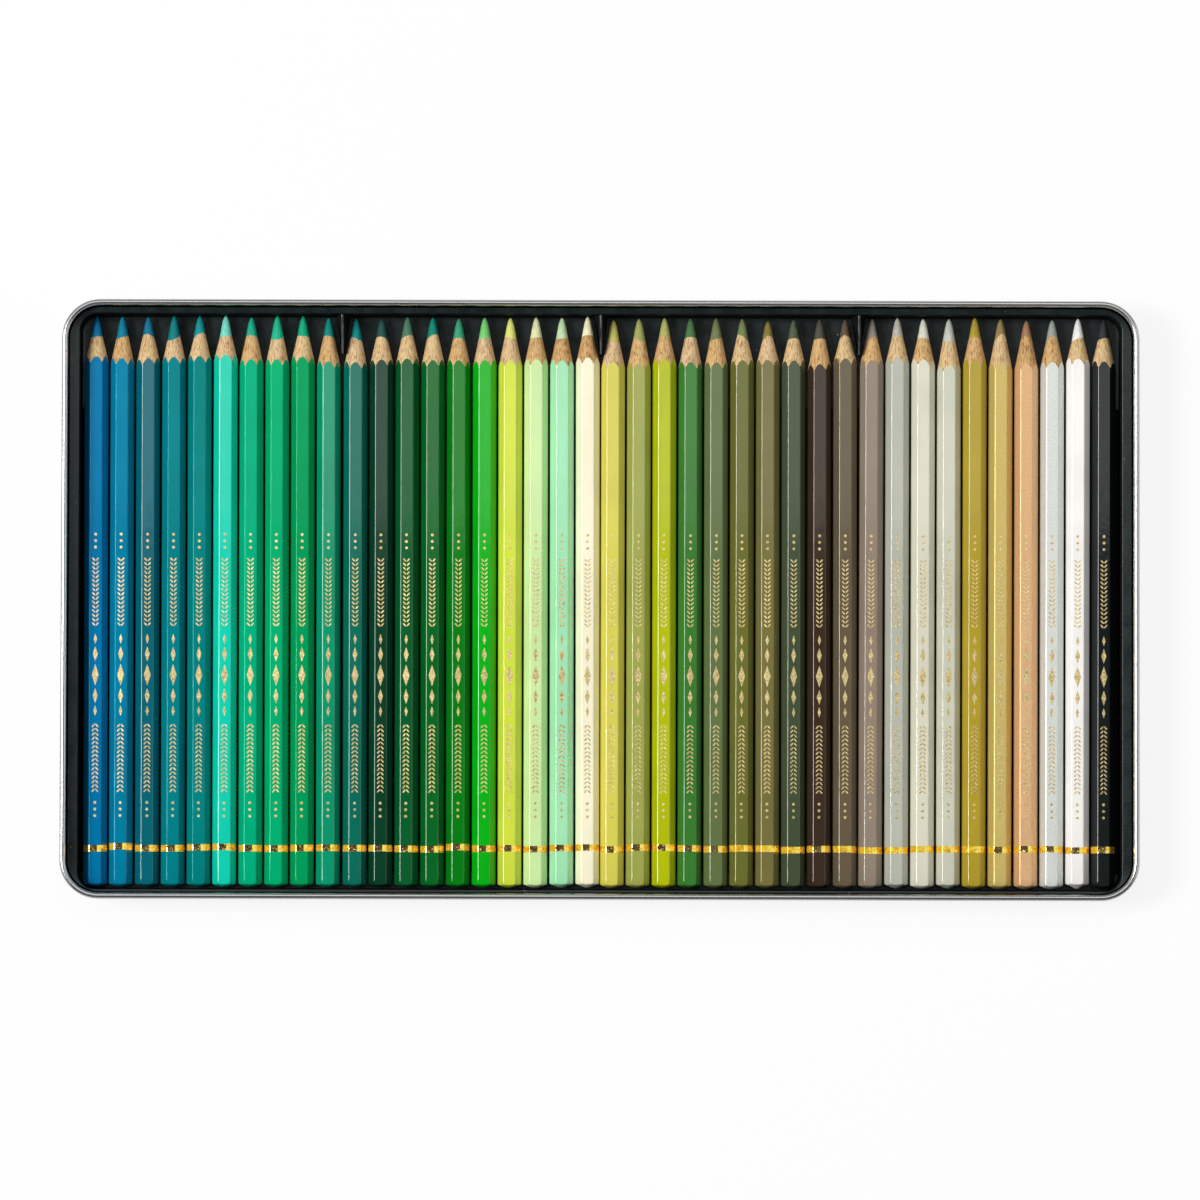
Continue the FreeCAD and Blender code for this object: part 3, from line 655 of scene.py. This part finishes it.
# How far the ten pencils of each bay lie aside at the tip and at the butt, and how far one strays and rolls
BAY_LEAN = ((-0.36, -0.1), (0.0, 0.15), (-0.15, -0.2), (0.05, -0.3))
STRAY = 0.06
ROLL = 2
for number, (name, lacquer, core, tone, *cuts) in enumerate(PENCILS, start=1):
    body, colour = name[:9], name[10:]
    bm = pencil_shape(number, *cuts, BUTT_DRIPS.get(colour, 0.0))
    bmesh.ops.translate(bm, verts=bm.verts, vec=(0, 0, PENCIL_AXIS))
    bm.from_mesh(ornament)
    chance = random.Random(number + 100)
    axis = Vector((0, 0, PENCIL_AXIS))
    roll = Matrix.Rotation(math.radians(chance.uniform(-ROLL, ROLL)), 4, "Y")
    bmesh.ops.rotate(bm, verts=bm.verts, cent=axis, matrix=roll)
    at_tip, at_butt = [(lean + chance.uniform(-STRAY, STRAY)) * MM for lean in BAY_LEAN[(number - 1) // 10]]
    swing = Matrix.Rotation((at_butt - at_tip) / (TIP - BUTT), 4, "Z")
    bmesh.ops.rotate(bm, verts=bm.verts, cent=axis, matrix=swing)
    across = (number - (PENCIL_COUNT + 1) / 2) * PENCIL_PITCH + (at_tip + at_butt) / 2
    bmesh.ops.translate(bm, verts=bm.verts, vec=(across, 0, 0))
    finishes = [lacquered(colour, lacquer), cedar[tone], pressed_core(colour, core)]
    finishes += [gold_foil, gold_leaf, gold_painted_reflection, gold_painted_highlight]
    pencil = made_piece(f"{name}_lacquered", bm, finishes)
    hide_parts(name)
    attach(pencil, body)


# Studio: a white floor that fades into a white surround, a strong soft box on the left, a broad one overhead
# beyond the tips, and faint ones on the right, near and above. The surround is dark only straight above.
floor_bm = bmesh.new()
bmesh.ops.create_circle(floor_bm, cap_ends=True, segments=64, radius=12)
bmesh.ops.translate(floor_bm, verts=floor_bm.verts, vec=(0, 0, -0.2 * MM))
white_floor, floor_shader = new_finish("white_floor", Base_Color=(0.86, 0.86, 0.86, 1), Roughness=0.9)


def seen(tree):
    """1 for what the camera, a mirror or glass shows, and 0 for plain light."""
    path = node(tree, "LightPath", {}).outputs
    sockets = {0: path["Is Camera Ray"], 1: path["Is Glossy Ray"]}
    either = node(tree, "Math", sockets, operation="MAXIMUM").outputs[0]
    return node(tree, "Math", {0: either, 1: path["Is Transmission Ray"]}, operation="MAXIMUM").outputs[0]


floor_tree = white_floor.node_tree
glow = node(floor_tree, "Emission", {"Color": (1, 1, 1, 1), "Strength": 1.0}).outputs[0]
mostly = node(floor_tree, "Math", {0: seen(floor_tree), 1: 0.85}, operation="MULTIPLY").outputs[0]
floor_mix = node(floor_tree, "MixShader", {0: mostly, 1: floor_shader.outputs[0], 2: glow}).outputs[0]
floor_tree.links.new(floor_mix, floor_tree.nodes["Material Output"].inputs["Surface"])
floor = made_piece("floor", floor_bm, [white_floor])

surround = bpy.data.worlds.new("surround")
bpy.context.scene.world = surround
surround.use_nodes = True
sky = surround.node_tree
direction = node(sky, "TexCoord", {}).outputs["Generated"]
height = node(sky, "SeparateXYZ", {0: direction}).outputs["Z"]
darkening = {"Value": height, "From Min": 0.08, "From Max": 0.28, "To Min": 1.0, "To Max": 0.06}
fade = node(sky, "MapRange", darkening).outputs["Result"]
shown = node(sky, "Background", {"Color": (1, 1, 1, 1), "Strength": fade}).outputs[0]
plain = node(sky, "Background", {"Color": (1, 1, 1, 1), "Strength": 0.17}).outputs[0]
sky_mix = node(sky, "MixShader", {0: seen(sky), 1: plain, 2: shown}).outputs[0]
sky.links.new(sky_mix, sky.nodes["World Output"].inputs["Surface"])


def soft_box(name, place, aim, size, watts):
    """A rectangular soft box that faces a point."""
    lamp = bpy.data.lights.new(name, "AREA")
    lamp.shape = "RECTANGLE"
    lamp.size, lamp.size_y = size
    lamp.energy = watts
    holder = bpy.data.objects.new(name, lamp)
    holder.location = place
    holder.rotation_euler = (Vector(aim) - Vector(place)).to_track_quat("-Z", "Y").to_euler()
    bpy.context.scene.collection.objects.link(holder)


soft_box("left_box", (-1.87, 0.135, 2.31), (0, 0, 0), (0.8, 1.0), 70)
soft_box("far_box", (0, 0.80, 1.5), (0, 0.80, 0), (2.0, 1.4), 10.5)
soft_box("right_box", (1.3, 0.0, 0.95), (0, 0, 0), (1.2, 0.6), 3.6)
soft_box("near_box", (0, -1.8, 1.3), (0, 0, 0), (2.0, 0.6), 1)
soft_box("ceiling_glow", (0.62, -0.45, 1.5), (0.62, -0.45, 0), (1.0, 1.0), 0.2)


# Camera: high above the tin and a little towards the butt ends, square to the long side.
RIM_LEVEL = 16 * MM
CAMERA_BACK = 117 * MM
CAMERA_HEIGHT = 2600 * MM
CAMERA_ASIDE = 0.24 * MM
FRAME_WIDTH = 365.3 * MM
FRAME_MIDDLE = -0.18 * MM
view = bpy.data.cameras.new("camera")
view.sensor_width = 36
view.lens = view.sensor_width * math.hypot(CAMERA_BACK, CAMERA_HEIGHT) / FRAME_WIDTH
view.clip_end = 100
camera = bpy.data.objects.new("camera", view)
camera.location = (CAMERA_ASIDE, FRAME_MIDDLE - CAMERA_BACK, RIM_LEVEL + CAMERA_HEIGHT)
camera.rotation_euler = (math.atan2(CAMERA_BACK, CAMERA_HEIGHT), 0, math.radians(0.145))
bpy.context.scene.collection.objects.link(camera)
bpy.context.scene.camera = camera
bpy.context.scene.view_settings.view_transform = "Standard"
